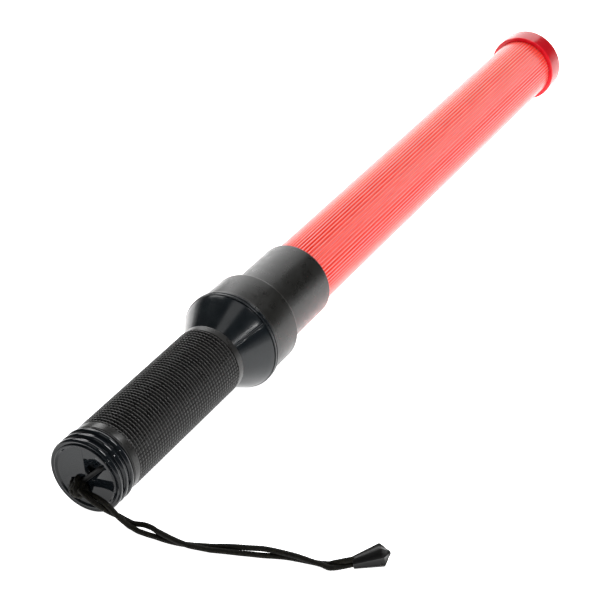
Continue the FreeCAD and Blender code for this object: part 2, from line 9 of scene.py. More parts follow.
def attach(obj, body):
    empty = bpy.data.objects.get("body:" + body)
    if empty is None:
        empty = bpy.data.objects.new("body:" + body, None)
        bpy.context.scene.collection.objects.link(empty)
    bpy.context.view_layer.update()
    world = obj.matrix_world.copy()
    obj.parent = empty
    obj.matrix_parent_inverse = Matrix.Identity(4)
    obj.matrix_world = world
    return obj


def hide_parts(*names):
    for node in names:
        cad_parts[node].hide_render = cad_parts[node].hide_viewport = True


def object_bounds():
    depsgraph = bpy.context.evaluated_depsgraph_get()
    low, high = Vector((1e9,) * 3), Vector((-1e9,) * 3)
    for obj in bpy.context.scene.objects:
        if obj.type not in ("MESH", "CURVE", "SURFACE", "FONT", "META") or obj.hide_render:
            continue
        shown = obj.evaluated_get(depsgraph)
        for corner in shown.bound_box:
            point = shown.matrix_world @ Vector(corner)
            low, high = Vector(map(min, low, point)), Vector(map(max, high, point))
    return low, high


# Looks of a traffic baton light. Turned pieces are drawn in the baton's own frame: X runs along
# its axis from the tail cap's lip, in millimetres, and an angle of 0 points along +Y.

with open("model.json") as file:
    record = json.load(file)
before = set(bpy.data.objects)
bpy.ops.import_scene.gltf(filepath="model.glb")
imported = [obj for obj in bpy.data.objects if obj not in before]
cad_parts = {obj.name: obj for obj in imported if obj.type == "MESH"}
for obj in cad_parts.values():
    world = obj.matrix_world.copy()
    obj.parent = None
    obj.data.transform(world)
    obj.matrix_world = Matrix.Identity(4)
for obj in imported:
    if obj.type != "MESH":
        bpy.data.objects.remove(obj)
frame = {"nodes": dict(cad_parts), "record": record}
CAD_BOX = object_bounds()

MM = 0.001
BATON_LENGTH = 541.0
SIDES = 192
ON_AXIS = 1e-6
SHARP = math.radians(32)

# Tail cap
RING_COUNT = 3
RING_FIRST = 1.8
RING_PITCH = 4.75
RING_ROUND = 1.8
RING_CENTRE = 19.0
RING_DROP = math.radians(74)
CAP_FOOT = 19.5
CAP_FRONT = 13.9
CAP_BORE = 19.1
CAP_FLOOR = 7.0
LIP_RADIUS = 17.6
RECESS = 1.0
FACE_FLAT = 16.6
FACE_RADIUS = 17.3
FACE_EDGE = 0.25
LIP_BEAD = 0.7
BAR_RISE = math.radians(135)
BAR_OFFSET = 1.2
BAR_LEVEL = 1.0
BAR_RADIUS = 1.3
BAR_GROOVE = 0.45
BAR_GROOVE_ANGLE = 0.6
# The bar's middle line: place along it and level above its straight part
BAR_PATH = (
    (13.6, -2.0), (13.6, -0.9), (13.1, -0.25), (12.2, 0.0), (9.0, 0.0), (6.0, 0.0), (0.0, 0.0),
    (-6.0, 0.0), (-9.2, 0.0), (-10.1, -0.25), (-10.6, -0.9), (-10.6, -2.3),
)
EYE_SIZE = (8.0, 6.8)
EYE_CENTRE = (-6.6, -1.1)
EYE_FLOOR = 5.4
POCKET_SIZE = (6.6, 5.4)
POCKET_CENTRE = (6.2, 1.7)
POCKET_FLOOR = 4.2

# Threads: 3 mm pitch on the handle's neck and on the collar's spigot
THREAD_PITCH = 3.0
THREAD_DEPTH = 0.5

# Handle
NECK = (7.9, 14.5)
NECK_RADIUS = 19.05
GRIP = (19.0, 113.5)
GRIP_RADIUS = 20.05
BAND_RADIUS = 19.9
BARREL_FRONT = 118.0
BARREL_SOCKET = 18.4
SOCKET_START = 108.0
BORE = 17.5
KNURL_ROWS = 43
KNURL_TEETH = 60
KNURL_DEPTH = 1.05
KNURL_PROFILE = ((0.0, 0.0), (0.26, 0.66), (0.4, 1.0), (0.58, 1.0), (0.72, 0.66))
TOOTH_DEPTH = 0.45
TOOTH_PROFILE = ((0.0, 0.0), (0.1, 0.0), (0.2, 0.72), (0.3, 1.0), (0.8, 1.0), (0.9, 0.72))

# Head: a flare from the handle to a grooved rim, with a mould seam on both sides
SOCKET_RADIUS = 18.38
FLARE_END = 136.3
RIM_RADIUS = 28.8
RIM_GROOVE_RADIUS = 28.0
HEAD_END = 139.8
HEAD_BORE = 26.2
SEAM_ANGLE = math.radians(141.5)
SEAM_START = 118.2
SEAM_DEPTH = 0.4
SEAM_HALF_WIDTH = 0.42
SEAM_STEPS = (0.0, 0.006, 0.012, 0.02)
SEAM_CLEARANCE = 0.028
GATE_ANGLE = math.radians(96)
GATE_STATION = 121.4
GATE_RADIUS = 19.72

# Collar: threaded spigot, flange, wide part and narrow part
SPIGOT_START = 136.0
SPIGOT_RADIUS = 26.15
FLANGE = (140.6, 141.9)
FLANGE_RADIUS = 28.0
COLLAR_RADIUS = 27.4
COLLAR_STEP = 163.0
COLLAR_END = 208.0
SLEEVE_RADIUS = 22.7
COLLAR_BORE = 24.6

# Tube and tip
TUBE_START = 162.0
TUBE_END = 538.8
TUBE_RADIUS = 20.0
TUBE_BORE = 18.8
TUBE_PITCH = 30.0
RIB_COUNT = 62
RIB_STEPS = 10
RIB_DEPTH = 0.6
TIP_START = 527.5
TIP_LIP_RADIUS = 22.2
TIP_RADIUS = 22.6
TIP_BORE = 20.05
TIP_END = 541.0

# Wrist cord: its route in the row frame, in metres, from the knot to the bead
CORD_ROUTE = (
    (-0.2736, 0.0004, 0.0148),
    (-0.2746, -0.0044, 0.0146),
    (-0.2749, -0.0094, 0.0133),
    (-0.2744, -0.0136, 0.0113),
    (-0.2736, -0.0176, 0.0086),
    (-0.2724, -0.0220, 0.0055),
    (-0.2711, -0.0276, 0.0033),
    (-0.2705, -0.0346, 0.0025),
    (-0.2723, -0.0444, 0.0025),
    (-0.2726, -0.0528, 0.0025),
    (-0.2712, -0.0604, 0.0025),
    (-0.2681, -0.0676, 0.0025),
    (-0.2649, -0.0764, 0.0025),
    (-0.2622, -0.0858, 0.0025),
    (-0.2591, -0.0948, 0.0025),
    (-0.2564, -0.1043, 0.0025),
    (-0.2550, -0.1120, 0.0025),
    (-0.2542, -0.1196, 0.0025),
    (-0.2519, -0.1266, 0.0025),
    (-0.2489, -0.1320, 0.0027),
    (-0.2456, -0.1358, 0.0031),
)
STRAND_RADIUS = 1.42
STRAND_PITCH = 0.22
# A strand's end: how many points it tapers over, and how much it narrows
TAPER_POINTS = 4
TAPER_SHARE = 0.8
# Height of the cord's middle line where it lies on the floor, and where it starts to and has left it
LYING_HEIGHT = 2.5
LEAVES_FLOOR = (2.8, 7.0)
# Where along the cord, in mm, the two strands cross over each other
CROSSINGS = (3.0, 24.0, 64.0, 129.0, 150.0)
# The turn of the strands about each other at a crossing: the upper one leans towards -X
CROSSING_TURN = math.radians(151)
# Where the strands stand apart, or closer where the last value is negative: place and half length
# along the cord in mm, extra spread in radii
GAPS = ((39.0, 8.0, 0.7), (105.0, 12.0, 0.75), (143.0, 10.0, -0.55))
BEAD_START = (-246.4, -134.9)
BEAD_YAW = math.radians(-49)
BEAD_SIDES = 8
BEAD_SMALL = 3.0
BEAD_LARGE = 5.9
BEAD_TAPER = 14.4
BEAD_HOLE = 1.3
BEAD_HOLLOW = 0.17
BEAD_CLEARANCE = 0.05

# Knot: the lump it makes, in the strap bar's frame, and the turns of cord, in degrees
LUMP_CENTRE = (-8.0, -1.5, 1.8)
LUMP_SIZE = (4.3, 3.7, 3.7)
LOOP_POINTS = 11
LOOP_START = -215
LOOP_STEP = 43
LOOP_SQUEEZE = 0.92
WOUND_POINTS = 15
WOUND_START = -112
WOUND_STEP = 24.6
WOUND_SINK = 0.72

# Camera fitted to the photo, in the row frame
CAMERA_LENS = 114
CAMERA_SENSOR = 36
CAMERA_PLACE = (-0.89108, -0.46871, 0.53536)
CAMERA_HEADING = math.radians(29.312)
CAMERA_DOWN = math.radians(28.399)
# Softboxes: name, place, size in metres and power in watts
LIGHTS = (
    ("key", (0.3, -0.6, 1.3), 0.5, 13),
    ("spark", (-0.36, -0.74, 0.6), 0.04, 0.35),
    ("glint", (-0.6, -0.735, 0.6), 0.04, 1.2),
    ("top", (-0.37, 0.02, 1.25), 0.5, 1.0),
    ("back", (0.4, 0.9, 1.0), 0.7, 9),
    ("beyond", (1.35, 0.6, 0.66), 1.3, 11),
)
LIGHT_AIM = (-0.05, 0, 0.03)
FLOOR_SIZE = 3.0
FLOOR_GAP = 0.0002
FLOOR_GLOW = 1.1
# Height on the sky where it is palest and where it is darkest
SKY_PALE = 0.02
SKY_DARK = 0.22


# ---------------------------------------------------------------- frames and meshes

def mount(name):
    """The record's mount of that name."""
    for item in frame["record"]["mounts"]:
        if item["name"] == name:
            return item
    raise KeyError(name)


def baton_frame():
    """From the baton's own frame, in millimetres, to the row's, in metres."""
    tip = mount("tip_face")
    along = Vector(tip["axis"]).normalized()
    across = Vector((0, 1, 0))
    turn = Matrix((along, across, along.cross(across))).transposed().to_4x4()
    origin = Vector(tip["pos_m"]) - along * BATON_LENGTH * MM
    return Matrix.Translation(origin) @ turn @ Matrix.Scale(MM, 4)


BATON = baton_frame()


def add_object(name, mesh):
    """Link a mesh to the scene as an object."""
    piece = bpy.data.objects.new(name, mesh)
    bpy.context.scene.collection.objects.link(piece)
    return piece


def finish_mesh(name, build, place=BATON, sharp=SHARP):
    """Turn a bmesh into an object in the row frame, smooth but for its sharp edges."""
    bmesh.ops.recalc_face_normals(build, faces=build.faces)
    mesh = bpy.data.meshes.new(name)
    build.to_mesh(mesh)
    build.free()
    mesh.transform(place)
    mesh.shade_smooth()
    mesh.set_sharp_from_angle(angle=sharp)
    return add_object(name, mesh)


def join_rows(build, low, high):
    """Faces between two rows of vertices round the axis; a row may be one point."""
    if len(low) == 1 and len(high) == 1:
        return
    count = max(len(low), len(high))
    for step in range(count):
        after = (step + 1) % count
        if len(low) == 1:
            build.faces.new((low[0], high[step], high[after]))
        elif len(high) == 1:
            build.faces.new((low[step], high[0], low[after]))
        else:
            build.faces.new((low[step], high[step], high[after], low[after]))


def even_angles(count):
    """That many directions round the axis."""
    return [2 * math.pi * step / count for step in range(count)]


def revolve(outline, angles=None, relief=None):
    """A bmesh turned about X from (station, radius) points. relief changes a point's radius."""
    angles = angles or even_angles(SIDES)
    build = bmesh.new()
    rows = []
    for station, radius in outline:
        if radius < ON_AXIS:
            rows.append([build.verts.new((station, 0, 0))])
            continue
        row = []
        for angle in angles:
            out = relief(station, radius, angle) if relief else radius
            row.append(build.verts.new((station, out * math.cos(angle), out * math.sin(angle))))
        rows.append(row)
    for low, high in zip(rows, rows[1:]):
        join_rows(build, low, high)
    if len(rows[0]) > 1 and len(rows[-1]) > 1:
        join_rows(build, rows[-1], rows[0])
    return build


def rounded(corners, steps=5):
    """An outline whose corners (station, radius, rounding) are rounded off."""
    points = []
    count = len(corners)
    for number, corner in enumerate(corners):
        here = Vector(corner[:2])
        size = corner[2] if len(corner) > 2 else 0.0
        if size == 0.0:
            points.append(tuple(here))
            continue
        back = (Vector(corners[number - 1][:2]) - here).normalized()
        ahead = (Vector(corners[(number + 1) % count][:2]) - here).normalized()
        half = back.angle(ahead) / 2
        setback = size / math.tan(half)
        begin = here + back * setback
        finish = here + ahead * setback
        for step in range(steps + 1):
            share = step / steps
            first = begin.lerp(here, share)
            last = here.lerp(finish, share)
            points.append(tuple(first.lerp(last, share)))
    return points


def arc(station, radius, size, start, stop, steps=12):
    """Points on an arc about (station, radius), its angles from +X towards outward."""
    points = []
    for step in range(steps + 1):
        angle = start + (stop - start) * step / steps
        points.append((station + size * math.cos(angle), radius + size * math.sin(angle)))
    return points


def stepped(start, stop, pitch):
    """Stations from start to stop, about a pitch apart."""
    count = max(1, round((stop - start) / pitch))
    return [start + (stop - start) * step / count for step in range(count + 1)]


def thread_cut(station, angle):
    """How deep the right-handed thread is cut there, from 0 at its crest to 1."""
    phase = (station / THREAD_PITCH - angle / (2 * math.pi)) % 1.0
    return min(1.0, max(0.0, 2.2 - 5.5 * abs(phase - 0.5)))


def cut_away(piece, tool):
    """Cut the tool's volume out of a piece and drop the tool."""
    modifier = piece.modifiers.new("cut", "BOOLEAN")
    modifier.object = tool
    modifier.operation = "DIFFERENCE"
    modifier.solver = "EXACT"
    bpy.context.view_layer.update()
    solid = piece.evaluated_get(bpy.context.evaluated_depsgraph_get())
    mesh = bpy.data.meshes.new_from_object(solid)
    piece.modifiers.clear()
    piece.data = mesh
    bpy.data.objects.remove(tool)
    return piece


def settle(piece, body, slot, shade, *nodes):
    """Give a piece its material and say what it rides on and stands for."""
    piece.data.materials.clear()
    piece.data.materials.append(shade)
    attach(piece, body)
    if nodes:
        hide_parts(*nodes)
    return piece


# ---------------------------------------------------------------- materials

class Shade:
    """A material with its node tree and a few ways to add detail to it."""

    def __init__(self, name, colour, roughness, **sockets):
        self.material = bpy.data.materials.new(name)
        self.material.use_nodes = True
        self.nodes = self.material.node_tree.nodes
        self.links = self.material.node_tree.links
        self.shader = self.nodes["Principled BSDF"]
        self.shader.inputs["Base Color"].default_value = (*colour, 1)
        self.shader.inputs["Roughness"].default_value = roughness
        for socket, value in sockets.items():
            self.shader.inputs[socket.replace("_", " ")].default_value = value
        self.colour = colour
        self.roughness = roughness
        self.place = self.nodes.new("ShaderNodeTexCoord").outputs["Object"]
        self.bump = None

    def noise(self, size, detail=3.0, stretch=None):
        """Soft noise whose features are about size millimetres across."""
        texture = self.nodes.new("ShaderNodeTexNoise")
        texture.inputs["Scale"].default_value = 1 / (size * MM)
        texture.inputs["Detail"].default_value = detail
        source = self.place
        if stretch:
            mapping = self.nodes.new("ShaderNodeMapping")
            mapping.inputs["Scale"].default_value = stretch
            self.links.new(source, mapping.inputs["Vector"])
            source = mapping.outputs["Vector"]
        self.links.new(source, texture.inputs["Vector"])
        return texture.outputs["Fac"]

    def ranged(self, value, low, high, start=0.3, stop=0.7):
        """Map a value onto a range."""
        node = self.nodes.new("ShaderNodeMapRange")
        node.inputs["From Min"].default_value = start
        node.inputs["From Max"].default_value = stop
        node.inputs["To Min"].default_value = low
        node.inputs["To Max"].default_value = high
        self.links.new(value, node.inputs["Value"])
        return node.outputs["Result"]

    def tint(self, value, other, start=0.35, stop=0.65):
        """Vary the base colour between its own and another."""
        ramp = self.nodes.new("ShaderNodeValToRGB")
        ramp.color_ramp.elements[0].position = start
        ramp.color_ramp.elements[1].position = stop
        ramp.color_ramp.elements[0].color = (*self.colour, 1)
        ramp.color_ramp.elements[1].color = (*other, 1)
        self.links.new(value, ramp.inputs["Fac"])
        self.links.new(ramp.outputs["Color"], self.shader.inputs["Base Color"])
        return self

    def gloss(self, value, spread):
        """Vary the roughness either side of its own value."""
        out = self.ranged(value, self.roughness - spread, self.roughness + spread)
        self.links.new(out, self.shader.inputs["Roughness"])
        return self

    def relief(self, value, height):
        """Add bump of that height in millimetres, over what is there."""
        node = self.nodes.new("ShaderNodeBump")
        node.inputs["Distance"].default_value = height * MM
        self.links.new(value, node.inputs["Height"])
        if self.bump:
            self.links.new(self.bump, node.inputs["Normal"])
        self.bump = node.outputs["Normal"]
        self.links.new(self.bump, self.shader.inputs["Normal"])
        return self


def moulded(name, colour, roughness, lighter, grain, height, shine=0.5):
    """Moulded plastic: slow colour drift, patchy gloss and a fine surface grain."""
    shade = Shade(name, colour, roughness, Specular_IOR_Level=shine)
    shade.tint(shade.noise(14.0), lighter)
    shade.gloss(shade.noise(5.0, 5.0), roughness * 0.16)
    shade.relief(shade.noise(grain, 4.0), height)
    return shade.material


def metal(name, colour, roughness, darker, grain):
    """Plated or rolled metal: brushed lines, patchy gloss and a little tarnish."""
    shade = Shade(name, colour, roughness, Metallic=1.0)
    shade.tint(shade.noise(3.0), darker)
    shade.gloss(shade.noise(0.6, 4.0, grain), roughness * 0.4)
    shade.relief(shade.noise(0.25, 2.0, grain), 0.01)
    return shade.material


CAP_PLASTIC = moulded("cap_plastic", (0.005, 0.0065, 0.008), 0.075, (0.006, 0.008, 0.01), 0.8, 0.0005, 0.29)
BAR_PLASTIC = moulded("bar_plastic", (0.003, 0.003, 0.003), 0.38, (0.005, 0.005, 0.005), 0.5, 0.003, 0.1)
GLOSS_BLACK = moulded("gloss_black", (0.004, 0.006, 0.008), 0.2, (0.006, 0.009, 0.011), 9.0, 0.01, 0.45)
COLLAR_PLASTIC = moulded(
    "collar_plastic", (0.006, 0.006, 0.005), 0.3, (0.009, 0.009, 0.008), 1.2, 0.001, 0.38)
BLACK_RUBBER = moulded("black_rubber", (0.012, 0.012, 0.012), 0.6, (0.02, 0.02, 0.02), 0.3, 0.01)
WHITE_PLASTIC = moulded("white_plastic", (0.72, 0.71, 0.66), 0.4, (0.78, 0.77, 0.74), 0.4, 0.004)
MIRROR_PLASTIC = metal("mirror_plastic", (0.86, 0.86, 0.86), 0.08, (0.8, 0.8, 0.81), (1, 1, 1))
PLATED_STEEL = metal("plated_steel", (0.66, 0.65, 0.6), 0.25, (0.5, 0.49, 0.46), (1, 0.2, 1))
SPRING_STEEL = metal("spring_steel", (0.55, 0.55, 0.54), 0.3, (0.4, 0.4, 0.4), (1, 1, 1))
BRASS = metal("brass", (0.83, 0.6, 0.24), 0.28, (0.62, 0.42, 0.16), (0.1, 1, 1))
LAMP_METAL = metal("lamp_metal", (0.75, 0.72, 0.62), 0.22, (0.6, 0.56, 0.48), (1, 1, 1))
CELL_JACKET = metal("cell_jacket", (0.35, 0.36, 0.4), 0.3, (0.27, 0.28, 0.32), (0.2, 1, 1))


def clear(name, colour, roughness):
    """Clear glass or plastic with faint waviness."""
    shade = Shade(name, colour, roughness, Transmission_Weight=1.0, IOR=1.49)
    shade.tint(shade.noise(8.0), tuple(value * 0.97 for value in colour))
    shade.gloss(shade.noise(3.0), roughness * 0.5)
    shade.relief(shade.noise(5.0), 0.01)
    return shade.material


CLEAR_PLASTIC = clear("clear_plastic", (0.97, 0.98, 0.98), 0.04)
CLEAR_GLASS = clear("clear_glass", (0.97, 0.98, 0.98), 0.02)


def math_node(shade, operation, first, second=None):
    """A math node's output; its inputs are sockets or numbers."""
    node = shade.nodes.new("ShaderNodeMath")
    node.operation = operation
    for socket, value in zip(node.inputs, (first, second)):
        if isinstance(value, (int, float)):
            socket.default_value = value
        elif value is not None:
            shade.links.new(value, socket)
    return node.outputs["Value"]


def baton_place(shade):
    """The place along and across the baton, in metres, as separate sockets."""
    lift = shade.nodes.new("ShaderNodeVectorMath")
    lift.operation = "SUBTRACT"
    lift.inputs[1].default_value = BATON.to_translation()
    shade.links.new(shade.place, lift.inputs[0])
    turn = shade.nodes.new("ShaderNodeMapping")
    turn.inputs["Rotation"].default_value = BATON.to_quaternion().inverted().to_euler()
    shade.links.new(lift.outputs["Vector"], turn.inputs["Vector"])
    split = shade.nodes.new("ShaderNodeSeparateXYZ")
    shade.links.new(turn.outputs["Vector"], split.inputs["Vector"])
    return split.outputs


def rib_phase(shade):
    """0 on the crest of a rib of the tube and 1 at the bottom of the groove between two."""
    place = baton_place(shade)
    angle = math_node(shade, "ARCTAN2", place["Z"], place["Y"])
    turned = math_node(shade, "MULTIPLY", angle, RIB_COUNT / 2)
    wave = math_node(shade, "ABSOLUTE", math_node(shade, "SINE", turned))
    return math_node(shade, "SUBTRACT", 1.0, wave)


def grip_with_painted_crest_highlight():
    """Black grip plastic, its knurl crests painted greyer as a painted highlight on the ridges."""
    shade = Shade("grip_plastic", (0.003, 0.003, 0.003), 0.28, Specular_IOR_Level=0.3)
    place = baton_place(shade)
    across = math_node(shade, "POWER", place["Y"], 2.0)
    upward = math_node(shade, "POWER", place["Z"], 2.0)
    radius = math_node(shade, "SQRT", math_node(shade, "ADD", across, upward))
    crest = shade.ranged(radius, 0.0, 1.0, (GRIP_RADIUS - 0.2) * MM, (GRIP_RADIUS - 0.03) * MM)
    patchy_highlight = shade.ranged(shade.noise(9.0), 0.8, 1.0)
    # Painted highlight: the knurl's crests are painted a lighter grey than its grooves, a little patchy.
    shade.tint(math_node(shade, "MULTIPLY", crest, patchy_highlight), (0.056, 0.056, 0.053), 0.0, 1.0)
    shade.gloss(shade.noise(5.0, 3.0), 0.02)
    shade.relief(shade.noise(0.6, 2.0), 0.001)
    return shade.material


def tube_red():
    """Translucent red tube: milky glow from inside, with a white sheen along its sides and the grooves
    between its ribs painted a darker red as painted shade.
    """
    shade = Shade(
        "red_tube", (0.9, 0.034, 0.012), 0.2,
        Subsurface_Weight=0.3,
        Subsurface_Scale=0.001,
        Sheen_Weight=1.0,
        Sheen_Roughness=0.33,
        Coat_Weight=1.0,
        Coat_Roughness=0.16,
        Coat_IOR=1.65,
    )
    shade.shader.inputs["Subsurface Radius"].default_value = (1.0, 0.25, 0.15)
    shade.shader.inputs["Sheen Tint"].default_value = (1.0, 0.95, 0.97, 1)
    # Painted shade: the grooves between the ribs are painted a darker red than the crests.
    shade.tint(rib_phase(shade), (0.78, 0.01, 0.01), 0.6, 0.95)
    shade.gloss(shade.noise(4.0, 4.0, (0.1, 1, 1)), 0.05)
    shade.relief(shade.noise(2.4, 2.0, (0.05, 1, 1)), 0.003)
    return shade.material


def cap_red():
    """Deep glossy red of the tip cap: painted light makes its open lip bright, and painted shade darkens the
    band behind it.
    """
    shade = Shade(
        "red_cap", (0.72, 0.004, 0.016), 0.22,
        Specular_IOR_Level=0.3,
        Subsurface_Weight=0.12,
        Subsurface_Scale=0.001,
        Coat_Weight=0.25,
        Coat_Roughness=0.2,
    )
    # Painted light and shade: from the open lip to the band, the red is painted from bright to dark.
    along = shade.ranged(baton_place(shade)["X"], 0.0, 1.0, 0.5278, 0.5295)
    drift = math_node(shade, "MULTIPLY", shade.noise(9.0), 0.3)
    shade.tint(math_node(shade, "ADD", along, drift), (0.44, 0.003, 0.009), 0.1, 1.1)
    shade.gloss(shade.noise(3.0, 4.0), 0.04)
    shade.relief(shade.noise(4.0), 0.012)
    return shade.material


def braid():
    """Black braided cord: olive-black fibres with a soft nap."""
    shade = Shade(
        "cord_braid", (0.003, 0.0027, 0.0018), 0.65,
        Specular_IOR_Level=0.12,
        Sheen_Weight=0.02,
        Sheen_Roughness=0.4,
    )
    shade.tint(shade.noise(0.7, 4.0), (0.022, 0.02, 0.01), 0.52, 0.72)
    shade.gloss(shade.noise(0.8), 0.12)
    shade.relief(shade.noise(0.12, 2.0), 0.03)
    return shade.material


GRIP_PLASTIC = grip_with_painted_crest_highlight()
RED_TUBE = tube_red()
RED_CAP = cap_red()
CORD_BRAID = braid()
BEAD_PLASTIC = moulded("bead_plastic", (0.005, 0.005, 0.005), 0.32, (0.008, 0.008, 0.008), 0.35, 0.006, 0.2)


# ---------------------------------------------------------------- camera, lights and floor

def studio():
    """Camera at the photographer's place, soft lights and a pale floor."""
    camera = bpy.data.cameras.new("camera")
    camera.lens = CAMERA_LENS
    camera.sensor_width = CAMERA_SENSOR
    holder = bpy.data.objects.new("camera", camera)
    holder.location = CAMERA_PLACE
    holder.rotation_euler = (math.pi / 2 - CAMERA_DOWN, 0, CAMERA_HEADING - math.pi / 2)
    bpy.context.scene.collection.objects.link(holder)
    bpy.context.scene.camera = holder
    for name, place, size, power in LIGHTS:
        soft_light(name, place, size, power)
    floor()
    sky()
    bpy.context.scene.view_settings.view_transform = "Standard"


def soft_light(name, place, size, power):
    """A square softbox aimed at the middle of the baton."""
    lamp = bpy.data.lights.new(name, "AREA")
    lamp.size = size
    lamp.energy = power
    holder = bpy.data.objects.new(name, lamp)
    holder.location = place
    aim = Vector(LIGHT_AIM) - Vector(place)
    holder.rotation_euler = aim.to_track_quat("-Z", "Y").to_euler()
    bpy.context.scene.collection.objects.link(holder)


def floor():
    """A wide pale floor just under the baton."""
    build = bmesh.new()
    bmesh.ops.create_grid(build, x_segments=1, y_segments=1, size=FLOOR_SIZE)
    level = Matrix.Translation((0, 0, CAD_BOX[0][2] - FLOOR_GAP))
    ground = finish_mesh("floor", build, level)
    shade = Shade("pale_floor", (0.9, 0.9, 0.9), 0.7)
    shade.gloss(shade.noise(40.0), 0.05)
    shade.shader.inputs["Emission Color"].default_value = (1, 1, 1, 1)
    shade.shader.inputs["Emission Strength"].default_value = FLOOR_GLOW
    ground.data.materials.append(shade.material)


def sky():
    """A dark room, white from the horizon down."""
    world = bpy.data.worlds.new("studio")
    bpy.context.scene.world = world
    world.use_nodes = True
    nodes = world.node_tree.nodes
    links = world.node_tree.links
    split = nodes.new("ShaderNodeSeparateXYZ")
    links.new(nodes.new("ShaderNodeTexCoord").outputs["Generated"], split.inputs["Vector"])
    ramp = nodes.new("ShaderNodeValToRGB")
    ramp.color_ramp.elements[0].position = SKY_PALE
    ramp.color_ramp.elements[0].color = (1.0, 1.0, 1.0, 1)
    ramp.color_ramp.elements[1].color = (0.06, 0.06, 0.06, 1)
    ramp.color_ramp.elements[1].position = SKY_DARK
    links.new(split.outputs["Z"], ramp.inputs["Fac"])
    links.new(ramp.outputs["Color"], nodes["Background"].inputs["Color"])
    nodes["Background"].inputs["Strength"].default_value = 1.0


# ---------------------------------------------------------------- wrist cord

def spline_points(route, order=3, resolution=16):
    """Points along a smooth open spline that the route controls."""
    curve = bpy.data.curves.new("route", "CURVE")
    curve.dimensions = "3D"
    curve.resolution_u = resolution
    spline = curve.splines.new("NURBS")
    spline.points.add(len(route) - 1)
    for point, place in zip(spline.points, route):
        point.co = (*place, 1)
    spline.order_u = order
    spline.use_endpoint_u = True
    holder = bpy.data.objects.new("route", curve)
    mesh = bpy.data.meshes.new_from_object(holder)
    points = [vertex.co.copy() for vertex in mesh.vertices]
    bpy.data.objects.remove(holder)
    bpy.data.curves.remove(curve)
    bpy.data.meshes.remove(mesh)
    return points


def evenly(points, pitch):
    """The same line with its points an even pitch apart."""
    reach = [0.0]
    for first, second in zip(points, points[1:]):
        reach.append(reach[-1] + (second - first).length)
    count = max(2, round(reach[-1] / pitch))
    result = []
    number = 0
    for step in range(count + 1):
        wanted = reach[-1] * step / count
        while number < len(points) - 2 and reach[number + 1] < wanted:
            number += 1
        span = reach[number + 1] - reach[number]
        share = (wanted - reach[number]) / span if span else 0.0
        result.append(points[number].lerp(points[number + 1], share))
    return result


def tangent(points, number):
    """The line's direction at one of its points."""
    before = points[max(number - 1, 0)]
    after = points[min(number + 1, len(points) - 1)]
    return (after - before).normalized()


def braided(build, points, radius, around=20, carriers=8, lay=1.5, depth=0.1):
    """A braided strand along a line: diamond bumps where its yarns pass over each other."""
    side = tangent(points, 0).orthogonal().normalized()
    rows = []
    length = 0.0
    count = len(points)
    for number, point in enumerate(points):
        direction = tangent(points, number)
        side = (side - direction * side.dot(direction)).normalized()
        other = direction.cross(side)
        if number:
            length += (point - points[number - 1]).length
        end = min(number, count - 1 - number)
        narrow = (1 - min(end, TAPER_POINTS) / TAPER_POINTS) ** 2 * TAPER_SHARE
        size = radius * min(1.0, math.sqrt(1 - narrow))
        row = []
        for angle in even_angles(around):
            first = carriers * angle / 2 + math.pi * length / lay
            second = carriers * angle / 2 - math.pi * length / lay
            bump = abs(math.sin(first)) * abs(math.sin(second))
            out = size - depth + depth * bump
            row.append(build.verts.new(point + side * math.cos(angle) * out + other * math.sin(angle) * out))
        rows.append(row)
    for low, high in zip(rows, rows[1:]):
        join_rows(build, low, high)
    build.faces.new(rows[0])
    build.faces.new(rows[-1])


def smooth_share(value, low, high):
    """0 below low, 1 above high and a smooth rise between."""
    share = min(1.0, max(0.0, (value - low) / (high - low)))
    return share * share * (3 - 2 * share)


def gap_spread(distance):
    """How much further apart the strands stand where the cord gapes, in radii."""
    extra = 0.0
    for place, half, amount in GAPS:
        extra += amount * (1 - smooth_share(abs(distance - place), half * 0.25, half))
    return extra


def twist(distance):
    """The strands' turn about each other and their spread, at a distance along the cord."""
    for number, (begin, finish) in enumerate(zip(CROSSINGS, CROSSINGS[1:])):
        if distance < finish or number == len(CROSSINGS) - 2:
            share = max(-1.0, min(1.0, (distance - begin) / (finish - begin)))
            return math.pi * (number + share) + CROSSING_TURN, 1.0 + gap_spread(distance)
    return 0.0, 1.0


def strand_lines(centre):
    """The two strands' own lines, in millimetres: twisted in the air, lying down on the floor."""
    lines = ([], [])
    pitch = (centre[1] - centre[0]).length
    for number, point in enumerate(centre):
        direction = tangent(centre, number)
        aside = Vector((0, 0, 1)).cross(direction).normalized()
        up = direction.cross(aside)
        turn, spread = twist(number * pitch)
        resting = 1 - smooth_share(point.z, *LEAVES_FLOOR)
        lift = STRAND_RADIUS * (1 + abs(math.sin(turn))) - LYING_HEIGHT
        for line, sign in zip(lines, (1, -1)):
            across = sign * STRAND_RADIUS * spread * math.cos(turn)
            rise = sign * STRAND_RADIUS * math.sin(turn)
            line.append(point + aside * across + up * rise + Vector((0, 0, lift * resting)))
    return lines


def wrist_cord():
    """Two braided strands twisted loosely together from the knot to the bead, and their middle line."""
    points = spline_points(CORD_ROUTE)
    path = [tuple(point) for point in points]
    centre = evenly([point / MM for point in points], STRAND_PITCH)
    build = bmesh.new()
    for line in strand_lines(centre):
        braided(build, line, STRAND_RADIUS)
    cord = finish_mesh("wrist_cord_strands", build, Matrix.Scale(MM, 4), math.radians(60))
    settle(cord, "tail_cap", "cord_braid", CORD_BRAID, "wrist_cord")
    return cord, path


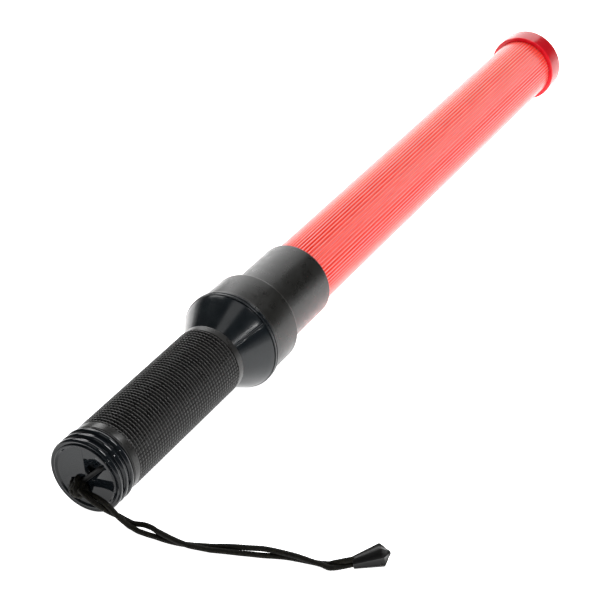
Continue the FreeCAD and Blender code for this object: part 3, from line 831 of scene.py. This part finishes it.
def bead_frame():
    """Where the bead lies on one of its flats, its own Z along it, in the row frame."""
    flat = math.cos(math.pi / BEAD_SIDES)
    slope = math.atan2((BEAD_LARGE - BEAD_SMALL) * flat, BEAD_TAPER)
    height = BEAD_SMALL * flat * math.cos(slope) + BEAD_CLEARANCE
    place = Matrix.Translation(Vector((*BEAD_START, height)) * MM)
    turn = Matrix.Rotation(BEAD_YAW, 4, "Z")
    lay = Matrix.Rotation(math.pi / 2 - slope, 4, "Y")
    level = Matrix.Rotation(math.pi / BEAD_SIDES, 4, "Z")
    to_x = Matrix.Rotation(-math.pi / 2, 4, "Y")
    return place @ turn @ lay @ level @ to_x @ Matrix.Scale(MM, 4)


def cord_bead():
    """Tapered bead with hollow facets between eight ridges, and a pointed end."""
    growth = (BEAD_LARGE - BEAD_SMALL) / BEAD_TAPER
    outline = [(4.0, 0.0), (4.0, BEAD_HOLE), (0.6, BEAD_HOLE), (0.0, 1.7), (0.0, 2.7), (0.25, BEAD_SMALL)]
    outline += [(place, BEAD_SMALL + growth * place) for place in stepped(0.0, BEAD_TAPER, 0.9)[1:-1]]
    outline += [(BEAD_TAPER - 0.1, BEAD_LARGE), (14.7, 5.8), (16.4, 3.8), (17.0, 2.7), (17.7, 1.8)]
    outline += [(18.4, 1.15), (18.7, 0.7), (18.7, 0.0)]

    def relief(station, radius, angle):
        hollow = abs(math.sin(BEAD_SIDES * angle / 2))
        share = smooth_share(radius, 1.7, 2.7)
        return radius * (1 - BEAD_HOLLOW * hollow ** 0.7 * share)

    build = revolve(outline, even_angles(96), relief)
    bead = finish_mesh("cord_bead_fluted", build, bead_frame(), math.radians(24))
    return settle(bead, "tail_cap", "bead_plastic", BEAD_PLASTIC, "cord_bead")


# ---------------------------------------------------------------- tail cap and knot

def bar_frame():
    """The strap bar's frame inside the baton's: X along the bar to the lip, Z out of the end face."""
    along = Vector((0, math.cos(BAR_RISE), math.sin(BAR_RISE)))
    outward = Vector((-1, 0, 0))
    aside = outward.cross(along)
    middle = Vector((BAR_LEVEL, 0, 0)) - Vector((0, math.sin(BAR_RISE), -math.cos(BAR_RISE))) * BAR_OFFSET
    return Matrix.Translation(middle) @ Matrix((along, aside, outward)).transposed().to_4x4()


def cap_cup():
    """The ringed cup of the tail cap, with its flat, shallow end face."""
    face = [(RECESS, 0.0), (RECESS, FACE_FLAT, 0.25), (FACE_EDGE, FACE_RADIUS), (0.0, LIP_RADIUS)]
    outline = rounded(face)
    outline += arc(LIP_BEAD, LIP_RADIUS + 0.1, LIP_BEAD, math.pi, math.pi / 2, 6)
    outline += [(0.75, 18.35)]
    for number in range(RING_COUNT):
        centre = RING_FIRST + number * RING_PITCH
        start = math.radians(148) if number == 0 else math.pi / 2 + RING_DROP
        outline += arc(centre, RING_CENTRE, RING_ROUND, start, math.pi / 2 - RING_DROP, 18)
    outline += [(CAP_FRONT - 0.4, CAP_FOOT), (CAP_FRONT, CAP_FOOT - 0.3), (CAP_FRONT, CAP_BORE)]
    outline += [(CAP_FLOOR, CAP_BORE), (CAP_FLOOR, 0.0)]
    return finish_mesh("tail_cap_shell", revolve(outline), BATON, math.radians(40))


def hollow_block(name, centre, size, floor_level):
    """A square hollow in the end face, down to a level."""
    build = bmesh.new()
    bmesh.ops.create_cube(build, size=1.0)
    deep = floor_level - RECESS
    shape = Matrix.Diagonal((*size, 2 * deep, 1))
    place = Matrix.Translation((*centre, BAR_LEVEL - RECESS))
    return finish_mesh(name, build, BATON @ bar_frame() @ place @ shape)


def strap_bar():
    """The bar across the end face: a groove between two ridges on its top, both ends bent down."""
    path = [Vector((along, 0, level)) for along, level in BAR_PATH]
    build = bmesh.new()
    rows = []
    for number, point in enumerate(path):
        direction = tangent(path, number)
        side = Vector((0, 1, 0))
        top = side.cross(direction) * -1
        row = []
        for angle in even_angles(40):
            groove = max(0.0, 1 - abs(angle - math.pi / 2) / BAR_GROOVE_ANGLE)
            out = BAR_RADIUS * (1 - BAR_GROOVE * groove)
            row.append(build.verts.new(point + side * math.cos(angle) * out + top * math.sin(angle) * out))
        rows.append(row)
    for low, high in zip(rows, rows[1:]):
        join_rows(build, low, high)
    build.faces.new(rows[0])
    build.faces.new(rows[-1])
    bar = finish_mesh("strap_bar", build, BATON @ bar_frame(), math.radians(50))
    return settle(bar, "tail_cap", "cap_plastic", BAR_PLASTIC)


def tail_cap():
    """Tail cap with its end face, its rings and the hollows beside the strap bar."""
    cap = cut_away(cap_cup(), hollow_block("eye", EYE_CENTRE, EYE_SIZE, EYE_FLOOR))
    cap = cut_away(cap, hollow_block("pocket", POCKET_CENTRE, POCKET_SIZE, POCKET_FLOOR))
    return settle(cap, "tail_cap", "cap_plastic", CAP_PLASTIC, "tail_cap")


def loop_round_bar(place, reach, lean):
    """Control points of a turn of cord round the bar, in the bar's frame."""
    points = []
    for step in range(LOOP_POINTS):
        angle = math.radians(LOOP_START + LOOP_STEP * step)
        across = math.sin(angle)
        upward = math.cos(angle)
        squeeze = 1.0 if upward > 0 else LOOP_SQUEEZE
        points.append((place + lean * across, reach * across * squeeze, reach * upward * squeeze))
    return points


def wound(tilt, turn, grow):
    """Control points of a turn of cord round the lump, its ends sunk into it."""
    points = []
    for step in range(WOUND_POINTS):
        angle = math.radians(WOUND_START + WOUND_STEP * step)
        sink = WOUND_SINK if step in (0, WOUND_POINTS - 1) else 1.0
        flat = Vector((math.sin(angle), 0, -math.cos(angle)))
        lean = Matrix.Rotation(turn, 3, "Z") @ Matrix.Rotation(tilt, 3, "X") @ flat
        points.append(tuple(middle + out * size * grow * sink
                            for middle, out, size in zip(LUMP_CENTRE, lean, LUMP_SIZE)))
    return points


KNOT_LINES = (
    loop_round_bar(-5.4, 3.2, 0.5),
    loop_round_bar(-8.8, 3.2, -0.5),
    wound(math.radians(20), math.radians(10), 1.0),
    wound(math.radians(-28), math.radians(38), 0.96),
    wound(math.radians(14), math.radians(82), 0.9),
    wound(math.radians(-16), math.radians(118), 0.98),
    wound(math.radians(34), math.radians(152), 0.92),
    ((-9.8, 1.4, 2.0), (-8.8, -0.2, 5.9), (-7.4, -2.8, 5.8), (-6.6, -5.0, 4.1), (-6.8, -5.6, 1.9)),
    ((-4.6, 1.2, 2.2), (-5.2, 0.2, 4.9), (-6.6, -1.8, 6.1), (-8.2, -4.0, 5.1), (-9.4, -5.4, 2.3)),
)


def knot():
    """Lark's-head knot of the cord round the strap bar."""
    build = bmesh.new()
    for line in KNOT_LINES:
        points = evenly(spline_points(line), STRAND_PITCH)
        braided(build, points, STRAND_RADIUS)
    lump = finish_mesh("cord_knot_strands", build, BATON @ bar_frame(), math.radians(60))
    return settle(lump, "tail_cap", "cord_braid", CORD_BRAID, "cord_knot")


# ---------------------------------------------------------------- handle and head

def knurl_height(share, profile):
    """Height of a knurl profile at a share of its pitch, from 0 to 1."""
    closed = profile + ((1.0, profile[0][1]),)
    for (low, start), (high, stop) in zip(closed, closed[1:]):
        if low <= share <= high:
            return start + (stop - start) * (share - low) / (high - low)
    return 0.0


def barrel_relief(station, radius, angle):
    """Knurl on the grip and thread on the neck."""
    if GRIP[0] < station < GRIP[1] and radius > BAND_RADIUS:
        along = (station - GRIP[0]) / (GRIP[1] - GRIP[0]) * KNURL_ROWS
        around = angle / (2 * math.pi) * KNURL_TEETH
        low = KNURL_DEPTH * (1 - knurl_height(along % 1.0, KNURL_PROFILE))
        side = TOOTH_DEPTH * (1 - knurl_height(around % 1.0, TOOTH_PROFILE))
        return radius - max(low, side)
    if NECK[0] + 0.3 < station < NECK[1] and radius == NECK_RADIUS:
        return radius - THREAD_DEPTH * thread_cut(station, angle)
    return radius


def handle_barrel():
    """Knurled handle between two smooth bands, with its threaded neck."""
    outline = [(NECK[0], BORE), (NECK[0], NECK_RADIUS - 0.4), (NECK[0] + 0.3, NECK_RADIUS)]
    outline += [(place, NECK_RADIUS) for place in stepped(NECK[0] + 0.4, NECK[1] - 0.05, 0.25)]
    outline += [(NECK[1], NECK_RADIUS - THREAD_DEPTH)]
    shoulder = [(NECK[1], NECK_RADIUS - THREAD_DEPTH), (NECK[1], BAND_RADIUS, 0.5), (GRIP[0], BAND_RADIUS)]
    outline += rounded(shoulder)[1:]
    outline += [(GRIP[0] + 0.05, BAND_RADIUS - 0.35)]
    pitch = (GRIP[1] - GRIP[0]) / KNURL_ROWS
    for row in range(KNURL_ROWS):
        shares = [share for share, _ in KNURL_PROFILE if row or share]
        outline += [(GRIP[0] + pitch * (row + share), GRIP_RADIUS) for share in shares]
    outline += [(GRIP[1] - 0.05, BAND_RADIUS - 0.35), (GRIP[1], BAND_RADIUS)]
    front = [(GRIP[1], BAND_RADIUS), (BARREL_FRONT, BAND_RADIUS, 0.5), (BARREL_FRONT, BARREL_SOCKET)]
    outline += rounded(front)[1:]
    outline += [(SOCKET_START, BARREL_SOCKET), (SOCKET_START, BORE)]
    angles = []
    for tooth in range(KNURL_TEETH):
        angles += [2 * math.pi * (tooth + share) / KNURL_TEETH for share, _ in TOOTH_PROFILE]
    build = revolve(outline, angles, barrel_relief)
    barrel = finish_mesh("handle_barrel_knurled", build, BATON, math.radians(50))
    return settle(barrel, "handle", "grip_plastic", GRIP_PLASTIC, "handle_barrel")


def cone_relief(station, radius, angle):
    """The mould's parting line, a fine groove along the flare on both sides."""
    if radius <= SOCKET_RADIUS or not SEAM_START <= station <= FLARE_END:
        return radius
    off = min(abs(angle - SEAM_ANGLE), abs(angle - SEAM_ANGLE - math.pi)) * radius
    return radius - SEAM_DEPTH * max(0.0, 1 - off / SEAM_HALF_WIDTH)


def seam_angles():
    """Directions round the axis, closer together beside the parting line."""
    angles = even_angles(SIDES)
    for seam in (SEAM_ANGLE, SEAM_ANGLE + math.pi):
        angles = [angle for angle in angles if abs(angle - seam) > SEAM_CLEARANCE]
        angles += [seam + step for step in SEAM_STEPS]
        angles += [seam - step for step in SEAM_STEPS[1:]]
    return sorted(angles)


def head_housing():
    """Glossy flared head, straight from its neck, with a parting line and a grooved rim."""
    outline = [(SOCKET_START, BORE), (SOCKET_START, SOCKET_RADIUS), (SEAM_START, SOCKET_RADIUS)]
    outline += [(118.5, 18.1), (121.0, 19.5), (127.0, 22.9), (133.0, 26.4), (136.0, 28.1), (FLARE_END, 28.2)]
    outline += [(136.45, 27.85), (136.85, 27.85)]
    first = [(136.85, 27.85), (136.95, RIM_RADIUS, 0.3), (138.1, RIM_RADIUS, 0.3), (138.2, RIM_GROOVE_RADIUS)]
    outline += rounded(first)[1:]
    outline += [(138.65, RIM_GROOVE_RADIUS)]
    second = [(138.65, RIM_GROOVE_RADIUS), (138.75, RIM_RADIUS, 0.3), (HEAD_END, RIM_RADIUS, 0.3)]
    outline += rounded(second + [(HEAD_END, HEAD_BORE)])[1:]
    outline += [(135.8, HEAD_BORE), (135.8, 25.2), (134.0, 25.2), (134.0, 20.0), (132.0, 20.0), (132.0, 23.9)]
    outline += [(120.0, BORE)]
    build = revolve(outline, seam_angles(), cone_relief)
    housing = finish_mesh("head_housing_flare", build, BATON, math.radians(28))
    return settle(housing, "handle", "gloss_black", GLOSS_BLACK, "head_housing")


def gate_mark():
    """The small stub left where the cone was cut from its runner."""
    build = bmesh.new()
    bmesh.ops.create_cone(build, cap_ends=True, segments=20, radius1=0.55, radius2=0.42, depth=0.5)
    across = math.cos(GATE_ANGLE)
    upward = math.sin(GATE_ANGLE)
    spot = Vector((GATE_STATION, GATE_RADIUS * across, GATE_RADIUS * upward))
    outward = Vector((-0.5, 0.87 * across, 0.87 * upward))
    turn = outward.to_track_quat("Z", "X").to_matrix().to_4x4()
    bmesh.ops.bevel(build, geom=list(build.edges), offset=0.1, segments=2, affect="EDGES")
    stub = finish_mesh("gate_mark", build, BATON @ Matrix.Translation(spot) @ turn)
    return settle(stub, "handle", "gloss_black", GLOSS_BLACK)


# ---------------------------------------------------------------- wand

def collar_relief(station, radius, angle):
    """Thread on the spigot."""
    if radius == SPIGOT_RADIUS and station > SPIGOT_START + 0.3:
        return radius - THREAD_DEPTH * thread_cut(station, angle)
    return radius


def collar():
    """Satin collar, large round the reflector and small round the tube."""
    outline = [(SPIGOT_START, COLLAR_BORE), (SPIGOT_START, SPIGOT_RADIUS - 0.4), (136.3, SPIGOT_RADIUS)]
    outline += [(place, SPIGOT_RADIUS) for place in stepped(136.4, 140.2, 0.25)]
    flange = [(FLANGE[0], 25.65), (FLANGE[0], FLANGE_RADIUS, 0.4), (FLANGE[1], FLANGE_RADIUS, 0.4)]
    groove = [(FLANGE[1], 27.0), (142.4, 27.0), (142.4, COLLAR_RADIUS), (150, COLLAR_RADIUS)]
    outline += [(FLANGE[0], 25.65)] + rounded(flange + groove)[1:-1]
    wide = [(142.4, COLLAR_RADIUS), (COLLAR_STEP, COLLAR_RADIUS, 1.1), (COLLAR_STEP, SLEEVE_RADIUS, 0.3)]
    narrow = [(COLLAR_END, SLEEVE_RADIUS, 0.5), (COLLAR_END, 20.05)]
    outline += rounded(wide + narrow)[1:]
    outline += [(206.0, TUBE_RADIUS), (TUBE_START, TUBE_RADIUS), (TUBE_START, TUBE_BORE)]
    outline += [(160.0, TUBE_BORE), (160.0, COLLAR_BORE)]
    piece = finish_mesh("collar_stepped", revolve(outline, None, collar_relief), BATON, math.radians(28))
    return settle(piece, "wand", "collar_plastic", COLLAR_PLASTIC, "collar")


def head_seal():
    """Thin black ring between the head's rim and the collar."""
    outline = rounded([(HEAD_END, 26.5), (HEAD_END, 27.7, 0.2), (140.5, 27.7, 0.2), (140.5, 26.5)])
    seal = finish_mesh("head_seal_ring", revolve(outline))
    return settle(seal, "handle", "black_rubber", BLACK_RUBBER, "head_seal")


def tube_relief(station, radius, angle):
    """Rounded ribs along the tube."""
    if radius < TUBE_RADIUS:
        return radius
    return radius - RIB_DEPTH * (1 - abs(math.sin(RIB_COUNT * angle / 2)))


def light_tube():
    """Red tube, ribbed lengthwise."""
    outline = [(TUBE_START, TUBE_BORE), (TUBE_START, TUBE_RADIUS)]
    outline += [(place, TUBE_RADIUS) for place in stepped(TUBE_START + 0.5, TUBE_END - 0.5, TUBE_PITCH)]
    outline += [(TUBE_END, TUBE_RADIUS), (TUBE_END, TUBE_BORE)]
    inner = stepped(TUBE_START + TUBE_PITCH, TUBE_END - TUBE_PITCH, TUBE_PITCH)
    outline += [(place, TUBE_BORE) for place in reversed(inner)]
    build = revolve(outline, even_angles(RIB_COUNT * RIB_STEPS), tube_relief)
    tube = finish_mesh("light_tube_ribbed", build, BATON, math.radians(75))
    return settle(tube, "wand", "red_tube", RED_TUBE, "light_tube")


def tip_cap():
    """Glossy red cap: a lip at its open end, a straight wall, a crisp far edge and a shallow round recess."""
    corners = [
        (TIP_START, TIP_BORE, 0.15), (TIP_START, TIP_LIP_RADIUS, 0.15), (TIP_START + 0.5, TIP_RADIUS, 0.2),
        (TIP_END - 0.5, TIP_RADIUS, 0.3), (TIP_END, TIP_RADIUS - 0.5, 0.3), (TIP_END, 9.0, 0.2),
        (540.6, 8.8, 0.2), (540.6, 0.0),
    ]
    outline = [(539.0, 0.0), (539.0, TIP_BORE)] + rounded(corners)
    cap = finish_mesh("tip_cap_moulded", revolve(outline), BATON, math.radians(32))
    return settle(cap, "wand", "red_cap", RED_CAP, "tip_cap")


# ---------------------------------------------------------------- pieces kept from the frame

KEPT_FINISH = {
    "return_strip": BRASS,
    "battery_cell_rear": CELL_JACKET,
    "battery_cell_front": CELL_JACKET,
    "tail_contact_disc": PLATED_STEEL,
    "tail_seal": BLACK_RUBBER,
    "tail_spring": SPRING_STEEL,
    "lamp_holder": WHITE_PLASTIC,
    "lamp_side_contact": BRASS,
    "lamp_contact_plate": BRASS,
    "lamp_base": LAMP_METAL,
    "lamp_glass": CLEAR_GLASS,
    "reflector": MIRROR_PLASTIC,
    "lens": CLEAR_PLASTIC,
    "lens_seal": BLACK_RUBBER,
}


def kept_nodes():
    """Materials for the inner pieces, whose frame shapes are right as they are."""
    for name, finish in KEPT_FINISH.items():
        node = frame["nodes"][name]
        node.data.materials.clear()
        node.data.materials.append(finish)


studio()
cord, cord_line = wrist_cord()
bead = cord_bead()
lump = knot()
tail_cap()
strap_bar()
handle_barrel()
head_housing()
gate_mark()
head_seal()
collar()
light_tube()
tip_cap()
kept_nodes()
